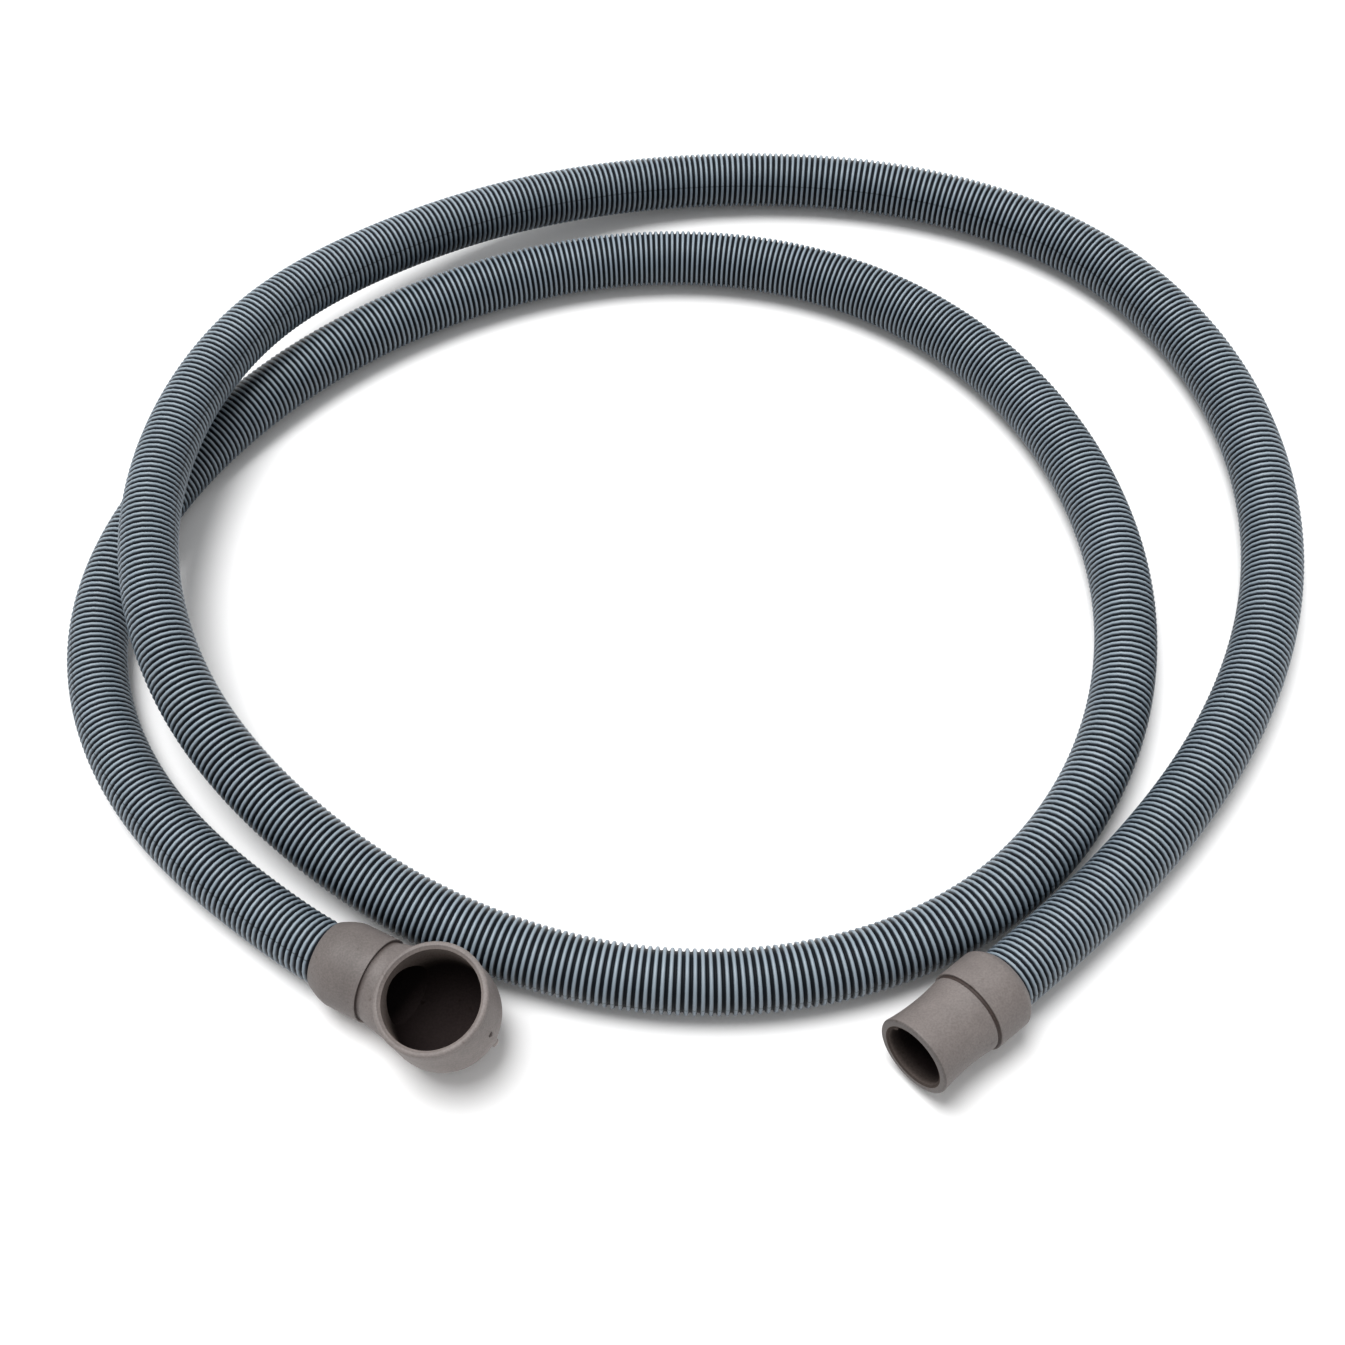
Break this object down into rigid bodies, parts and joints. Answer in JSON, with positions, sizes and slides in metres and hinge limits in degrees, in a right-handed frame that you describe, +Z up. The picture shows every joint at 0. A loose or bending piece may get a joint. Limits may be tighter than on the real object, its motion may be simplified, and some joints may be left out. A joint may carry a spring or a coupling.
{
  "type": "drain hose",
  "caption": "Corrugated plastic drain hose lying in a loose coil, with a straight rubber cuff on one end and a rubber elbow cuff with a wide round mouth on the other.",
  "frame": {"origin": "on the floor, under the middle of the coiled hose", "axes": "+Z up, -Y towards the side where both ends lie, +X to the right seen from that side, along the coil's longest extent"},
  "size_m": [0.4166, 0.3811, 0.0421],
  "materials": {
    "hose": "blue-grey, satin",
    "cuff": "warm grey, matt"
  },
  "bodies": {
    "root": {"corrugated_hose": "hose", "elbow_cuff": "cuff", "straight_cuff": "cuff"}
  },
  "joints": []
}
